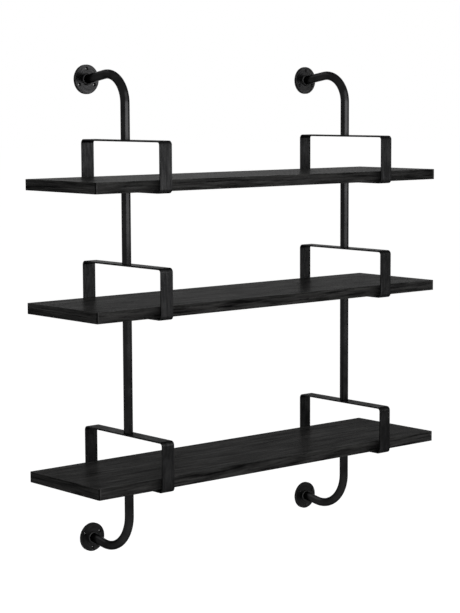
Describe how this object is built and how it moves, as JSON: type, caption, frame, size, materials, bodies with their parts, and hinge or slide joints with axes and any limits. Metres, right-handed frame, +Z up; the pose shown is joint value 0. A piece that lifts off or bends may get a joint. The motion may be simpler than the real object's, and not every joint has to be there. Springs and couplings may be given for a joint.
{
  "type": "pipe shelving unit",
  "caption": "Wall-hung shelving unit: wooden boards held in flat-bar loops on two upright round pipe frames that bend back to screwed wall flanges.",
  "frame": {"origin": "on the wall plane, midway between the four wall flanges", "axes": "+X along the boards to the right as seen from the room, +Y into the wall, +Z up"},
  "size_m": [1, 0.278, 1.079],
  "materials": {
    "board_wood": "black stained, satin lacquer",
    "strap_coat": "black powder coat, satin",
    "pipe_coat": "black powder coat, satin",
    "flange_coat": "black powder coat, satin",
    "weld_coat": "black powder coat over weld",
    "plug_steel": "zinc plated",
    "joint_screw_black": "black oxide",
    "board_screw_black": "black oxide"
  },
  "bodies": {
    "root": {"top_shelf_board": "board_wood", "middle_shelf_board": "board_wood", "bottom_shelf_board": "board_wood", "left_top_strap_loop": "strap_coat", "left_middle_strap_loop": "strap_coat", "left_bottom_strap_loop": "strap_coat", "left_upper_riser_pipe": "pipe_coat", "left_lower_riser_pipe": "pipe_coat", "left_top_bent_pipe": "pipe_coat", "left_top_wall_flange": "flange_coat", "left_top_weld_ring": "weld_coat", "left_bottom_bent_pipe": "pipe_coat", "left_bottom_wall_flange": "flange_coat", "left_bottom_weld_ring": "weld_coat", "left_pipe_end_plugs": "plug_steel", "left_joint_screws": "joint_screw_black", "right_top_strap_loop": "strap_coat", "right_middle_strap_loop": "strap_coat", "right_bottom_strap_loop": "strap_coat", "right_upper_riser_pipe": "pipe_coat", "right_lower_riser_pipe": "pipe_coat", "right_top_bent_pipe": "pipe_coat", "right_top_wall_flange": "flange_coat", "right_top_weld_ring": "weld_coat", "right_bottom_bent_pipe": "pipe_coat", "right_bottom_wall_flange": "flange_coat", "right_bottom_weld_ring": "weld_coat", "right_pipe_end_plugs": "plug_steel", "right_joint_screws": "joint_screw_black", "top_board_screws": "board_screw_black", "middle_board_screws": "board_screw_black", "bottom_board_screws": "board_screw_black"}
  },
  "joints": []
}
